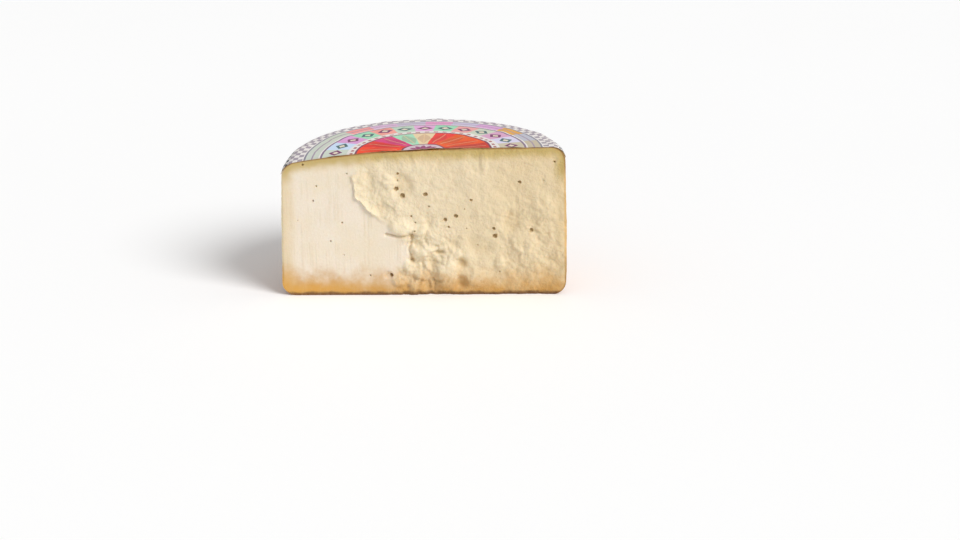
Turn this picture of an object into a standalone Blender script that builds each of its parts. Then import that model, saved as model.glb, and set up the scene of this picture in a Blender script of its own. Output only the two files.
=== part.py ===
"""Half a wheel of pecorino, standing on its base, with a printed paper over its top and shoulder.

The wheel is turned from a profile and halved by a cut. The left of the cut is smooth, where the
knife went through. The rest broke away in crags, with small eyes, one crack and a few proud lumps.
X runs along the cut, Z is up and the cut faces -Y. The origin is under the middle of the half.
"""

import math

import bmesh
import bpy
from mathutils import Vector, noise

MM = 0.001

# Wheel, in metres
WHEEL_RADIUS = 95.0 * MM
WHEEL_HEIGHT = 100.0 * MM
TOP_NARROWER = 2.4 * MM
FOOT_RADIUS = 9.5 * MM
SHOULDER_WIDTH = 9.0 * MM
SHOULDER_HEIGHT = 8.0 * MM
CROWN_RISE = 0.8 * MM
CROWN_INNER_RADIUS = 30.0 * MM
TOP_SLOPE = 0.02
LEFT_SAG = 0.075
SIDE_WAVE = 0.35 * MM
SEGMENTS = 96
FOOT_STEPS = 6
SIDE_STEPS = 8
SHOULDER_STEPS = 9
CROWN_STEPS = 3

# Printed paper
PAPER_GAP = 0.3 * MM
PAPER_THICKNESS = 0.45 * MM
PAPER_FROM_STEP = 1

# Cut face, in metres
PROUDEST = 2.5 * MM
CUT_GRID = 1.5 * MM
CUT_MARGIN = 5.0 * MM
CUTTER_DEPTH = 115.0 * MM
FACES_KEPT = 0.36

# The middle of the half is at y = 0, so the wheel's own axis stands in front of it.
AXIS_Y = (PROUDEST - WHEEL_RADIUS) / 2

# Cut face features, in millimetres: x from the wheel's axis and z from its base
KNIFE_EDGE = (
    # z, x
    (0, -25),
    (14, -23),
    (30, -12),
    (42, -21),
    (54, -32),
    (60, -39),
    (68, -45),
    (82, -46.5),
    (110, -48),
)
CRACK = ((-25, 42.5), (-17, 41), (-8, 41.5), (-10, 32), (-8, 24))
LUMPS = (
    # x, z, half width, half height, how proud
    (-15.5, 48, 8, 6, 2.5),
    (-15, 59, 6, 5, 0.9),
    (-4, 45, 6, 4, 1.2),
    (1, 31, 8, 4.5, 2.5),
    (-10, 20, 5, 4, 2.0),
    (15, 15, 7.5, 11.5, 3.4),
    (20, 28, 5, 4, 1.8),
    (-2, 14, 5, 5, 1.4),
    (-17, 10, 5, 4.5, 2.3),
    (-6, 7, 4.5, 5, 2.2),
    (33, 12, 9, 7, 1.4),
    (50, 22, 3.5, 5, 1.5),
    (39.5, 92, 3, 8, 1.1),
    (-24, 79, 5, 5, 1.0),
    (66, 34, 10, 12, 1.8),
    (78, 62, 8, 10, 1.5),
)
HOLLOWS = (
    # x, z, half width, half height, how deep
    (-36, 74, 3.5, 11, 1.0),
    (-28, 60, 7, 4, 1.2),
    (-14, 76, 8, 8, 2.0),
    (24.5, 22, 3.5, 4, 2.6),
    (25, 9, 4, 5, 2.8),
    (10.5, 29.7, 4, 1.6, 1.6),
    (5, 22, 3, 4, 1.4),
    (2, 6, 3, 4.5, 2.2),
    (-5, 36, 4, 3, 1.4),
    (-24, 14, 3, 3, 1.4),
    (36, 34, 9, 8, 1.4),
    (57, 50, 6, 10, 1.6),
    (84, 20, 9, 9, 1.6),
)
EYES = (
    # x, z, radius
    (-17, 84, 1.0),
    (-18, 73.5, 1.5),
    (-14, 69, 1.7),
    (1, 70, 1.4),
    (14, 52.5, 1.3),
    (21, 55, 1.3),
    (16, 47.5, 0.9),
    (46, 46.5, 1.1),
    (47, 41, 1.6),
    (-22, 14, 1.3),
    (-73, 66, 0.8),
    (-62, 38, 0.7),
    (63, 78, 1.1),
    (71, 45, 1.4),
    (31, 66, 0.9),
)
EYE_DEPTH = 1.7
ROUGH_PATCHES = (
    # x, z, half width, half height, how much rougher
    (1, 22, 30, 34, 1.2),
    (-28, 66, 22, 26, 0.6),
    (70, 34, 30, 36, 0.6),
)
LEAST_ROUGH = 0.4
RIDGE_HEIGHT = 2.8
RIDGE_FALL = 5.0
RIDGE_FROM_HEIGHT = (48, 60)
RIDGE_TO_HEIGHT = (82, 90)
TORN_SUNK = 0.6
CRACK_DEPTH = 2.0
CRACK_WIDTH = 1.8
TOP_BREAK_HEIGHT = 82.0
TOP_BREAK_LEAN = 0.07
TOP_BREAK_FROM_X = (-8, 2)

# Texture of the cut, in millimetres: spacing, height and where the noise is read
EDGE_WANDER = (12.0, 4.0, 3.1)
EDGE_BLEND = (-0.6, 1.6, 8.0)
KNIFE_WAVE = (40.0, 0.25, 8.0)
BROAD_WAVE = (30.0, 0.9, 1.7)
CRAGS = ((11.0, 1.2, 2.3), (4.0, 0.5, 6.1))
KNOBS = (7.5, 0.9, 5.2)
LIMIT_SHARPNESS = 2.5


def smooth_step(low, high, value):
    """0 below low, 1 above high and a smooth rise between them."""
    share = min(max((value - low) / (high - low), 0.0), 1.0)
    return share * share * (3 - 2 * share)


def along(points, value):
    """The second number of a list of pairs, read at this value of the first."""
    for (low, start), (high, end) in zip(points, points[1:]):
        if value <= high:
            return start + (end - start) * max(value - low, 0.0) / (high - low)
    return points[-1][1]


def distance_to_path(x, z, path):
    """The distance from a point to the nearest piece of a bent line."""
    point = Vector((x, z))
    nearest = math.inf
    for start, end in zip(path, path[1:]):
        start = Vector(start)
        run = Vector(end) - start
        share = min(max((point - start).dot(run) / run.length_squared, 0.0), 1.0)
        nearest = min(nearest, (point - start - run * share).length)
    return nearest


def bumps(x, z, places):
    """The summed height of soft mounds, each an ellipse that fades at its edge."""
    total = 0.0
    for middle_x, middle_z, half_width, half_height, rise in places:
        spread = math.hypot((x - middle_x) / half_width, (z - middle_z) / half_height)
        total += rise * (1 - smooth_step(0.35, 1.25, spread))
    return total


def crags(x, z, spacing, seed):
    """Broken facets: every cell is a small plane that leans its own way."""
    place = Vector((x / spacing, z / spacing, seed))
    distances, centres = noise.voronoi(place)
    lean = noise.cell_vector(centres[0] * 53.0) * 2 - Vector((1, 1, 1))
    across = place - centres[0]
    inside = smooth_step(0.0, 0.22, distances[1] - distances[0])
    return (0.9 * lean.xy.dot(across.xy) + 0.45 * lean.z) * inside


def knobs(x, z, spacing, seed):
    """Rounded lumps that meet in sharp creases, from about -0.5 to 0.5."""
    bend = noise.noise_vector(Vector((x / spacing, z / spacing, seed + 4))) * 0.35
    distances, centres = noise.voronoi(Vector((x / spacing, z / spacing, seed)) + bend)
    return 0.5 - 1.6 * distances[0] ** 2


def wave(x, z, spacing, height, seed):
    """Soft uneven ground with hills this far apart and about this high."""
    return height * noise.fractal(Vector((x / spacing, z / spacing, seed)), 0.9, 2.0, 3)


def torn_relief(x, z, from_knife_edge, upper):
    """The broken part of the cut: crags and knobs, and a ridge beside the knife cut's upper edge."""
    broken = KNOBS[1] * knobs(x, z, KNOBS[0], KNOBS[2])
    for spacing, height, seed in CRAGS:
        broken += height * crags(x, z, spacing, seed)
    rough = LEAST_ROUGH + bumps(x, z, ROUGH_PATCHES)
    ridge = upper * RIDGE_HEIGHT * math.exp(-max(from_knife_edge, 0.0) / RIDGE_FALL)
    return rough * broken + wave(x, z, *BROAD_WAVE) + ridge - TORN_SUNK


def proudness(x, z):
    """How far the cut stands out towards -Y, in millimetres."""
    from_knife_edge = x - along(KNIFE_EDGE, z) + wave(x, z, *EDGE_WANDER)
    upper = smooth_step(*RIDGE_FROM_HEIGHT, z) * (1 - smooth_step(*RIDGE_TO_HEIGHT, z))
    start, upper_end, lower_end = EDGE_BLEND
    torn = smooth_step(start, lower_end + (upper_end - lower_end) * upper, from_knife_edge)
    height = wave(x, z, *KNIFE_WAVE) + torn * torn_relief(x, z, from_knife_edge, upper)
    height += bumps(x, z, LUMPS) - bumps(x, z, HOLLOWS)
    height -= CRACK_DEPTH * (1 - smooth_step(0.0, CRACK_WIDTH, distance_to_path(x, z, CRACK)))
    height -= TOP_BREAK_LEAN * max(z - TOP_BREAK_HEIGHT, 0.0) * smooth_step(*TOP_BREAK_FROM_X, x)
    for eye_x, eye_z, radius in EYES:
        inside = 1 - (math.hypot(x - eye_x, z - eye_z) / radius) ** 2
        if inside > 0:
            height -= EYE_DEPTH * radius * math.sqrt(inside)
    return limited(height)


def limited(height):
    """The same height, eased so that nothing stands out further than the proudest lump may."""
    short = PROUDEST / MM - height
    return PROUDEST / MM - math.log1p(math.exp(LIMIT_SHARPNESS * short)) / LIMIT_SHARPNESS


def arc(middle, half_width, half_height, start, end, steps):
    """Points of an elliptical arc, as pairs of radius and height. Angles are in degrees."""
    points = []
    for step in range(steps + 1):
        angle = math.radians(start + (end - start) * step / steps)
        across = middle[0] + half_width * math.cos(angle)
        points.append((across, middle[1] + half_height * math.sin(angle)))
    return points


def wheel_side():
    """The foot and the side, from under the wheel up to where the shoulder begins."""
    foot_middle = (WHEEL_RADIUS - FOOT_RADIUS, FOOT_RADIUS)
    points = arc(foot_middle, FOOT_RADIUS, FOOT_RADIUS, -90, 0, FOOT_STEPS)
    shoulder_start = WHEEL_HEIGHT - CROWN_RISE - SHOULDER_HEIGHT
    for step in range(1, SIDE_STEPS):
        share = step / SIDE_STEPS
        radius = WHEEL_RADIUS - TOP_NARROWER * share**1.5
        points.append((radius, FOOT_RADIUS + (shoulder_start - FOOT_RADIUS) * share))
    return points


def wheel_top():
    """The shoulder and the crown, up to the ring that closes the middle of the top."""
    middle_radius = WHEEL_RADIUS - TOP_NARROWER - SHOULDER_WIDTH
    middle = (middle_radius, WHEEL_HEIGHT - CROWN_RISE - SHOULDER_HEIGHT)
    points = arc(middle, SHOULDER_WIDTH, SHOULDER_HEIGHT, 0, 90, SHOULDER_STEPS)
    for step in range(1, CROWN_STEPS + 1):
        radius = middle_radius + (CROWN_INNER_RADIUS - middle_radius) * step / CROWN_STEPS
        fall = CROWN_RISE * (radius / middle_radius) ** 2
        points.append((radius, WHEEL_HEIGHT - fall))
    return points


def pushed_out(points, distance):
    """The same profile, moved out by this distance square to itself."""
    moved = []
    for index, point in enumerate(points):
        before = Vector(points[max(index - 1, 0)])
        after = Vector(points[min(index + 1, len(points) - 1)])
        run = (after - before).normalized()
        moved.append((point[0] + run.y * distance, point[1] - run.x * distance))
    return moved


def turned(profile):
    """A mesh turned from a profile of radius and height, with both of its ends closed flat."""
    mesh = bmesh.new()
    ring = [mesh.verts.new((radius, 0, height)) for radius, height in profile]
    edges = [mesh.edges.new(pair) for pair in zip(ring, ring[1:])]
    bmesh.ops.spin(
        mesh,
        geom=ring + edges,
        axis=(0, 0, 1),
        cent=(0, 0, 0),
        steps=SEGMENTS,
        angle=math.tau,
        use_merge=True,
    )
    bmesh.ops.holes_fill(mesh, edges=[edge for edge in mesh.edges if edge.is_boundary])
    bmesh.ops.recalc_face_normals(mesh, faces=mesh.faces)
    return mesh


def settle(mesh):
    """Gives the turned wheel its uneven side and its sloping, sagging top, and puts it on its place."""
    for vert in mesh.verts:
        x, y, z = vert.co
        angle = math.atan2(y, x)
        lift = min(z / WHEEL_HEIGHT, 1.0)
        swell = math.sin(2 * angle + 0.7) + 0.6 * math.sin(5 * angle + 6 * lift)
        grow = 1 + SIDE_WAVE * swell * lift * (1 - 0.5 * lift) / WHEEL_RADIUS
        sag = LEFT_SAG * (min(x / WHEEL_RADIUS, 0.0) * (1 - y / WHEEL_RADIUS)) ** 2
        vert.co = (x * grow, y * grow + AXIS_Y, z * (1 + TOP_SLOPE * x / WHEEL_RADIUS - sag))


def linked_object(name, mesh):
    """An object in the scene made from a bmesh, which is then freed."""
    data = bpy.data.meshes.new(name)
    mesh.to_mesh(data)
    mesh.free()
    piece = bpy.data.objects.new(name, data)
    bpy.context.scene.collection.objects.link(piece)
    return piece


def make_cutter():
    """A block that fills the space in front of the cut. Its back is the craggy cut itself."""
    half_width = WHEEL_RADIUS + CUT_MARGIN
    low = -CUT_MARGIN
    high = WHEEL_HEIGHT * (1 + TOP_SLOPE) + CUT_MARGIN
    mesh = bmesh.new()
    bmesh.ops.create_grid(
        mesh,
        x_segments=round(2 * half_width / CUT_GRID),
        y_segments=round((high - low) / CUT_GRID),
        size=1,
    )
    for vert in mesh.verts:
        x = vert.co.x * half_width
        z = low + (high - low) * (vert.co.y + 1) / 2
        vert.co = (x, AXIS_Y - proudness(x / MM, z / MM) * MM, z)
    front = bmesh.ops.extrude_face_region(mesh, geom=list(mesh.faces), use_keep_orig=True)
    moved = [item for item in front["geom"] if isinstance(item, bmesh.types.BMVert)]
    for vert in moved:
        vert.co.y = AXIS_Y - CUTTER_DEPTH
    flat = [item for item in front["geom"] if isinstance(item, bmesh.types.BMFace)]
    bmesh.ops.dissolve_faces(mesh, faces=flat)
    bmesh.ops.recalc_face_normals(mesh, faces=mesh.faces)
    cutter = linked_object("cut_block", mesh)
    cutter.hide_render = True
    cutter.display_type = "WIRE"
    thinner = cutter.modifiers.new("Fewer facets", "DECIMATE")
    thinner.ratio = FACES_KEPT
    thinner.use_collapse_triangulate = True
    return cutter


def cut(piece, cutter):
    """Takes away what stands in front of the cut."""
    halving = piece.modifiers.new("Half", "BOOLEAN")
    halving.operation = "DIFFERENCE"
    halving.object = cutter
    halving.solver = "EXACT"


def plain_material(name, colour, roughness):
    material = bpy.data.materials.new(name)
    material.use_nodes = True
    shader = material.node_tree.nodes["Principled BSDF"]
    shader.inputs["Base Color"].default_value = (*colour, 1.0)
    shader.inputs["Roughness"].default_value = roughness
    shader.inputs["Metallic"].default_value = 0.0
    material.diffuse_color = (*colour, 1.0)
    return material


def finish(piece, material):
    piece.data.materials.append(material)
    piece.data.shade_smooth()
    piece.data.set_sharp_from_angle(angle=math.radians(35))


def make_half_wheel(cutter):
    """The cheese: the turned wheel, halved."""
    mesh = turned(wheel_side() + wheel_top())
    settle(mesh)
    wheel = linked_object("half_wheel", mesh)
    finish(wheel, plain_material("Pecorino paste", (0.80, 0.66, 0.45), 0.55))
    cut(wheel, cutter)


def make_top_label(cutter):
    """The printed paper that lies over the crown and folds down the shoulder, cut with the wheel."""
    covered = wheel_top()[PAPER_FROM_STEP:]
    under = pushed_out(covered, PAPER_GAP)
    over = pushed_out(covered, PAPER_GAP + PAPER_THICKNESS)
    mesh = turned(over[::-1] + under)
    settle(mesh)
    label = linked_object("top_label", mesh)
    finish(label, plain_material("Printed paper", (0.60, 0.25, 0.20), 0.45))
    cut(label, cutter)


def main():
    for startup_object in list(bpy.data.objects):
        bpy.data.objects.remove(startup_object)
    cutter = make_cutter()
    make_half_wheel(cutter)
    make_top_label(cutter)


main()
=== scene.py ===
# %% [markdown]
# # Half a wheel of pecorino
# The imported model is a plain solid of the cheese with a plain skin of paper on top. This file keeps
# that model as a fixed frame and dresses it: the broken cut gets its crumbs, the rind its mottled
# skin, and the paper its print. Everything is in metres, Z is up, and the cut faces -Y.

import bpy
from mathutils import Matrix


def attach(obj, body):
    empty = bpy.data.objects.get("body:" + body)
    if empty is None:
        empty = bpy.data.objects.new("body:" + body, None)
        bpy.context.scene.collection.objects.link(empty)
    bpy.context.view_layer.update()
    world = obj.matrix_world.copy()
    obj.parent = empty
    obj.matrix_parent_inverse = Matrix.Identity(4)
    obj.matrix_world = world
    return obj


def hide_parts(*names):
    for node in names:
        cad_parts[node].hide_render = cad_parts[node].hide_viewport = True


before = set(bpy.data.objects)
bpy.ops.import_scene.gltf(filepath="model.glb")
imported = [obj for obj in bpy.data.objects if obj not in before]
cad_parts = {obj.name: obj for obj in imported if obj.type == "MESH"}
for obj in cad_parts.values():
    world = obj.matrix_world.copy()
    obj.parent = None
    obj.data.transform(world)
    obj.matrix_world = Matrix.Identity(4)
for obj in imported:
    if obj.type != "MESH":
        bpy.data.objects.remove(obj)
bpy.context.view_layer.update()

# %% [markdown]
# ## Sizes
# A wheel of cheese is a turned shape, so a few sizes say all of it: the radius, the height, the
# rounding at the foot and at the shoulder, and how much the side draws in towards the top. They
# could be measured off the solids, but they are the very sizes that the solids were made from, and
# written out they can be read. The wheel's own axis stands at the front, in the cut.

# %% Sizes of the wheel
import math
import random

import bmesh
import bpy
from mathutils import Matrix, Vector, noise

MM = 0.001
WHEEL_RADIUS = 95.0 * MM
WHEEL_HEIGHT = 100.0 * MM
TOP_NARROWER = 2.4 * MM
FOOT_RADIUS = 9.5 * MM
SHOULDER_WIDTH = 9.0 * MM
SHOULDER_HEIGHT = 8.0 * MM
CROWN_RISE = 0.8 * MM
CROWN_INNER_RADIUS = 30.0 * MM
TOP_SLOPE = 0.02
LEFT_SAG = 0.075
SIDE_WAVE = 0.35 * MM
PROUDEST = 2.5 * MM
AXIS_Y = (PROUDEST - WHEEL_RADIUS) / 2
SHOULDER_START = WHEEL_HEIGHT - CROWN_RISE - SHOULDER_HEIGHT
FINE = 1.0
print("wheel", WHEEL_RADIUS, WHEEL_HEIGHT, "axis at y", AXIS_Y)

# %% [markdown]
# ## A small kit of bumps
# A broken surface is never one noise. It is worked out here as a height for each place on the cut,
# from a few kinds of bump: soft mounds where the eye should find them, facets that lean their own
# way, and rounded knobs that meet in creases. Heights as functions can be read at any fineness, so
# the same cut serves a coarse solid and a fine one. All of these count in millimetres.

# %% Soft steps, mounds and distances
MOUND_FLAT_TO = 0.35
MOUND_ENDS_AT = 1.25


def smooth_step(low, high, value):
    """0 below low, 1 above high and a smooth rise between them."""
    share = min(max((value - low) / (high - low), 0.0), 1.0)
    return share * share * (3 - 2 * share)


def along(points, value):
    """The second number of a list of pairs, read at this value of the first."""
    for (low, start), (high, end) in zip(points, points[1:]):
        if value <= high:
            return start + (end - start) * max(value - low, 0.0) / (high - low)
    return points[-1][1]


def distance_to_path(x, z, path):
    """The distance from a point to the nearest piece of a bent line."""
    point = Vector((x, z))
    nearest = math.inf
    for start, end in zip(path, path[1:]):
        start = Vector(start)
        run = Vector(end) - start
        share = min(max((point - start).dot(run) / run.length_squared, 0.0), 1.0)
        nearest = min(nearest, (point - start - run * share).length)
    return nearest


def bumps(x, z, places):
    """The summed height of soft mounds, each an ellipse that fades at its edge."""
    total = 0.0
    for middle_x, middle_z, half_width, half_height, rise in places:
        spread = math.hypot((x - middle_x) / half_width, (z - middle_z) / half_height)
        total += rise * (1 - smooth_step(MOUND_FLAT_TO, MOUND_ENDS_AT, spread))
    return total


print("a step half way up", smooth_step(0, 1, 0.5))

# %% [markdown]
# ## Broken ground
# Where cheese breaks, it parts along flat little planes and round curds. Cell noise makes both. Each
# cell can be tilted as a plane of its own, which gives facets, or domed by its distance to the middle,
# which gives knobs with creases between them. Fractal noise lays soft hills below. A displacement
# texture could do the same, but functions can be summed, masked and read by the material later. The
# vector noise that bends the knobs is given a seed, because without one it starts from the clock.

# %% Facets, knobs and waves
NOISE_SEED = 5
LEAN_SHUFFLE = 53.0
CRAG_LEAN = 0.9
CRAG_STEP = 0.45
CRAG_CREASE = 0.22
KNOB_BEND = 0.35
KNOB_DOME = 1.6
WAVE_ROUGHNESS = 0.9
noise.seed_set(NOISE_SEED)


def crags(x, z, spacing, seed):
    """Broken facets: every cell is a small plane that leans its own way."""
    place = Vector((x / spacing, z / spacing, seed))
    distances, centres = noise.voronoi(place)
    lean = noise.cell_vector(centres[0] * LEAN_SHUFFLE) * 2 - Vector((1, 1, 1))
    across = place - centres[0]
    inside = smooth_step(0.0, CRAG_CREASE, distances[1] - distances[0])
    return (CRAG_LEAN * lean.xy.dot(across.xy) + CRAG_STEP * lean.z) * inside


def knobs(x, z, spacing, seed):
    """Rounded lumps that meet in sharp creases, from about -0.5 to 0.5."""
    bend = noise.noise_vector(Vector((x / spacing, z / spacing, seed + 4))) * KNOB_BEND
    nearest = noise.voronoi(Vector((x / spacing, z / spacing, seed)) + bend)[0][0]
    return 0.5 - KNOB_DOME * nearest**2


def wave(x, z, spacing, height, seed):
    """Soft uneven ground with hills this far apart and about this high."""
    return height * noise.fractal(Vector((x / spacing, z / spacing, seed)), WAVE_ROUGHNESS, 2.0, 3)


print("a knob and a crag", knobs(3, 4, 7, 1), crags(3, 4, 7, 1))

# %% [markdown]
# ## The cut
# A knife went in from the left and left a smooth face. Then the cheese gave way and broke, so the
# rest is crumbly, with a ridge where the smooth part ends high up, a crack below it, and a heap of
# knobs low in the middle. The places are the ones that the solid has. The smallest crumbs are added
# here, because only a fine mesh can hold them.

# %% Where the features of the cut are, as x and z in millimetres
KNIFE_EDGE = (
    # z, x
    (0, -25),
    (14, -23),
    (30, -12),
    (42, -21),
    (54, -32),
    (60, -39),
    (68, -45),
    (82, -46.5),
    (110, -48),
)
CRACK = ((-25, 42.5), (-17, 41), (-8, 41.5), (-10, 32), (-8, 24))
LUMPS = (
    # x, z, half width, half height, how proud
    (-15.5, 48, 8, 6, 2.5),
    (-15, 59, 6, 5, 0.9),
    (-4, 45, 6, 4, 1.2),
    (1, 31, 8, 4.5, 2.5),
    (-10, 20, 5, 4, 2.0),
    (15, 15, 7.5, 11.5, 3.4),
    (20, 28, 5, 4, 1.8),
    (-2, 14, 5, 5, 1.4),
    (-17, 10, 5, 4.5, 2.3),
    (-6, 7, 4.5, 5, 2.2),
    (33, 12, 9, 7, 1.4),
    (50, 22, 3.5, 5, 1.5),
    (39.5, 92, 3, 8, 1.1),
    (-24, 79, 5, 5, 1.0),
    (66, 34, 10, 12, 1.8),
    (78, 62, 8, 10, 1.5),
)
HOLLOWS = (
    # x, z, half width, half height, how deep
    (-36, 74, 3.5, 11, 1.0),
    (-28, 60, 7, 4, 1.2),
    (-14, 76, 8, 8, 2.0),
    (24.5, 22, 3.5, 4, 2.6),
    (25, 9, 4, 5, 2.8),
    (10.5, 29.7, 4, 1.6, 1.6),
    (5, 22, 3, 4, 1.4),
    (2, 6, 3, 4.5, 2.2),
    (-5, 36, 4, 3, 1.4),
    (-24, 14, 3, 3, 1.4),
    (36, 34, 9, 8, 1.4),
    (57, 50, 6, 10, 1.6),
    (84, 20, 9, 9, 1.6),
)
ROUGH_PATCHES = (
    # x, z, half width, half height, how much rougher
    (1, 22, 30, 34, 1.2),
    (-28, 66, 22, 26, 0.6),
    (70, 34, 30, 36, 0.6),
)
print(len(LUMPS), "lumps and", len(HOLLOWS), "hollows")

# %% [markdown]
# ## The eyes
# A few small round holes, called eyes, are left by gas as the cheese ripens. The ones that show stand
# in a list with their places. The tiny ones could be listed too, but nobody looks for them in one
# place, so a random draw strews them. The draw has a fixed seed, which makes every run the same.

# %% The eyes: those that show, and small ones strewn by a seeded draw
EYES = [
    # x, z, radius
    (-17, 84, 1.0),
    (-18, 73.5, 1.5),
    (-14, 69, 1.7),
    (1, 70, 1.4),
    (14, 52.5, 1.3),
    (21, 55, 1.3),
    (16, 47.5, 0.9),
    (46, 46.5, 1.1),
    (47, 41, 1.6),
    (-22, 14, 1.3),
    (-73, 66, 0.8),
    (-62, 38, 0.7),
    (63, 78, 1.1),
    (71, 45, 1.4),
    (31, 66, 0.9),
]
SMALL_EYES = 18
draw = random.Random(11)
for _ in range(SMALL_EYES):
    EYES.append((draw.uniform(-86, 86), draw.uniform(8, 92), draw.uniform(0.45, 0.8)))
print(len(EYES), "eyes")

# %% [markdown]
# ## How rough the cut is
# Each kind of bump comes as a spacing, a height and a seed, from facets a centimetre across down to
# crumbs of two millimetres. Finer grain than that belongs to the material. Kept together in one cell,
# these values can be tuned by eye, one small change and one render at a time.

# %% Values for the relief, in millimetres
EYE_DEPTH = 1.7
EYE_WOBBLE = (2.2, 0.5, 6.6)
LEAST_ROUGH = 0.4
RIDGE_HEIGHT = 2.8
RIDGE_FALL = 5.0
RIDGE_FROM_HEIGHT = (48, 60)
RIDGE_TO_HEIGHT = (82, 90)
TORN_SUNK = 0.6
CRACK_DEPTH = 2.0
CRACK_WIDTH = 1.8
TOP_BREAK_HEIGHT = 82.0
TOP_BREAK_LEAN = 0.07
TOP_BREAK_FROM_X = (-8, 2)
EDGE_WANDER = (12.0, 4.0, 3.1)
EDGE_BLEND = (-0.6, 1.6, 8.0)
KNIFE_WAVE = (40.0, 0.25, 8.0)
BROAD_WAVE = (30.0, 0.9, 1.7)
CRAGS = ((11.0, 1.2, 2.3), (4.0, 0.5, 6.1))
KNOBS = ((7.5, 0.9, 5.2),)
FINE_CRAGS = ((2.3, 0.34, 9.4),)
FINE_KNOBS = ((3.6, 0.36, 7.7), (1.9, 0.2, 4.5))
LIMIT_SHARPNESS = 2.5
print("coarse facets are", CRAGS[0][0], "mm across, the finest crumbs", FINE_KNOBS[-1][0])

# %% [markdown]
# ## The height of the cut
# Now the bumps are summed. The broken part begins past the knife's edge and blends in over a few
# millimetres, or at once where the ridge stands. The sum is eased at its top, because nothing may
# stand out past the proudest lump of the solid, and a hard limit would leave flat spots.

# %% How far the cut stands out at each place
def edge_share(x, z):
    """How far past the knife cut's edge, how much ridge there, and how torn it is, from 0 to 1."""
    past = x - along(KNIFE_EDGE, z) + wave(x, z, *EDGE_WANDER)
    upper = smooth_step(*RIDGE_FROM_HEIGHT, z) * (1 - smooth_step(*RIDGE_TO_HEIGHT, z))
    start, upper_end, lower_end = EDGE_BLEND
    return past, upper, smooth_step(start, lower_end + (upper_end - lower_end) * upper, past)


def torn_relief(x, z, past, upper):
    """The broken part of the cut: crags and knobs, and a ridge beside the knife cut's upper edge."""
    broken = 0.0
    for spacing, height, seed in KNOBS + FINE_KNOBS:
        broken += height * knobs(x, z, spacing, seed)
    for spacing, height, seed in CRAGS + FINE_CRAGS:
        broken += height * crags(x, z, spacing, seed)
    rough = LEAST_ROUGH + bumps(x, z, ROUGH_PATCHES)
    ridge = upper * RIDGE_HEIGHT * math.exp(-max(past, 0.0) / RIDGE_FALL)
    return rough * broken + wave(x, z, *BROAD_WAVE) + ridge - TORN_SUNK


def eye_depth(x, z):
    """The depth of the eyes at this place. A little noise keeps them from being quite round."""
    depth = 0.0
    x += wave(x, z, *EYE_WOBBLE)
    for eye_x, eye_z, radius in EYES:
        inside = 1 - ((x - eye_x) ** 2 + (z - eye_z) ** 2) / radius**2
        if inside > 0:
            depth += EYE_DEPTH * radius * math.sqrt(inside)
    return depth


def proudness(x, z):
    """How far the cut stands out towards -Y, in millimetres, eased below the proudest lump."""
    past, upper, torn = edge_share(x, z)
    height = wave(x, z, *KNIFE_WAVE) + torn * torn_relief(x, z, past, upper)
    height += bumps(x, z, LUMPS) - bumps(x, z, HOLLOWS)
    height -= CRACK_DEPTH * (1 - smooth_step(0.0, CRACK_WIDTH, distance_to_path(x, z, CRACK)))
    height -= TOP_BREAK_LEAN * max(z - TOP_BREAK_HEIGHT, 0.0) * smooth_step(*TOP_BREAK_FROM_X, x)
    short = PROUDEST / MM - height + eye_depth(x, z)
    return PROUDEST / MM - math.log1p(math.exp(LIMIT_SHARPNESS * short)) / LIMIT_SHARPNESS


print("the big low lump stands out", round(proudness(15, 15), 2), "mm")

# %% [markdown]
# ## The turned profile
# The outline runs from under the foot, up the side, round the shoulder and in over the crown. The
# round stretches are arcs, and the side is a line that draws in. Spinning it about the wheel's axis
# gives the wheel, and the same stretch of it, moved out a little, gives the paper.

# %% The profile, as pairs of radius and height
def arc(middle, half_width, half_height, start, end, steps):
    """Points of an elliptical arc. Angles are in degrees."""
    points = []
    for step in range(steps + 1):
        angle = math.radians(start + (end - start) * step / steps)
        across = middle[0] + half_width * math.cos(angle)
        points.append((across, middle[1] + half_height * math.sin(angle)))
    return points


def wheel_side(foot_steps, side_steps):
    """The foot and the side, from under the wheel up to where the shoulder begins."""
    foot_middle = (WHEEL_RADIUS - FOOT_RADIUS, FOOT_RADIUS)
    points = arc(foot_middle, FOOT_RADIUS, FOOT_RADIUS, -90, 0, foot_steps)
    for step in range(1, side_steps):
        share = step / side_steps
        radius = WHEEL_RADIUS - TOP_NARROWER * share**1.5
        points.append((radius, FOOT_RADIUS + (SHOULDER_START - FOOT_RADIUS) * share))
    return points


def wheel_top(shoulder_steps, crown_steps, start=0, inner_radius=CROWN_INNER_RADIUS):
    """The shoulder, from this angle up, and the crown, in to this radius."""
    middle_radius = WHEEL_RADIUS - TOP_NARROWER - SHOULDER_WIDTH
    middle = (middle_radius, SHOULDER_START)
    points = arc(middle, SHOULDER_WIDTH, SHOULDER_HEIGHT, start, 90, shoulder_steps)
    for step in range(1, crown_steps + 1):
        radius = middle_radius + (inner_radius - middle_radius) * step / crown_steps
        points.append((radius, WHEEL_HEIGHT - CROWN_RISE * (radius / middle_radius) ** 2))
    return points


def pushed_out(points, distance):
    """The same profile, moved out by this distance square to itself."""
    moved = []
    for index, point in enumerate(points):
        before = Vector(points[max(index - 1, 0)])
        after = Vector(points[min(index + 1, len(points) - 1)])
        run = (after - before).normalized()
        moved.append((point[0] + run.y * distance, point[1] - run.x * distance))
    return moved


print("profile of", len(wheel_side(10, 60) + wheel_top(12, 6)), "points")

# %% [markdown]
# ## Turning and settling
# The spin operator turns a profile as a lathe does. The front is bisected away just before the cut, so
# that the Boolean has little to remove. A true wheel would look like a machine part. A real one has
# slumped on its shelf, so every point is then moved a little: the side swells, the top slopes, and the
# left end of the cut sags.

# %% Turning a profile, and settling it into its uneven shape
BISECT_TOLERANCE = 0.001 * MM
SECOND_SWELL = 0.6


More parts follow.
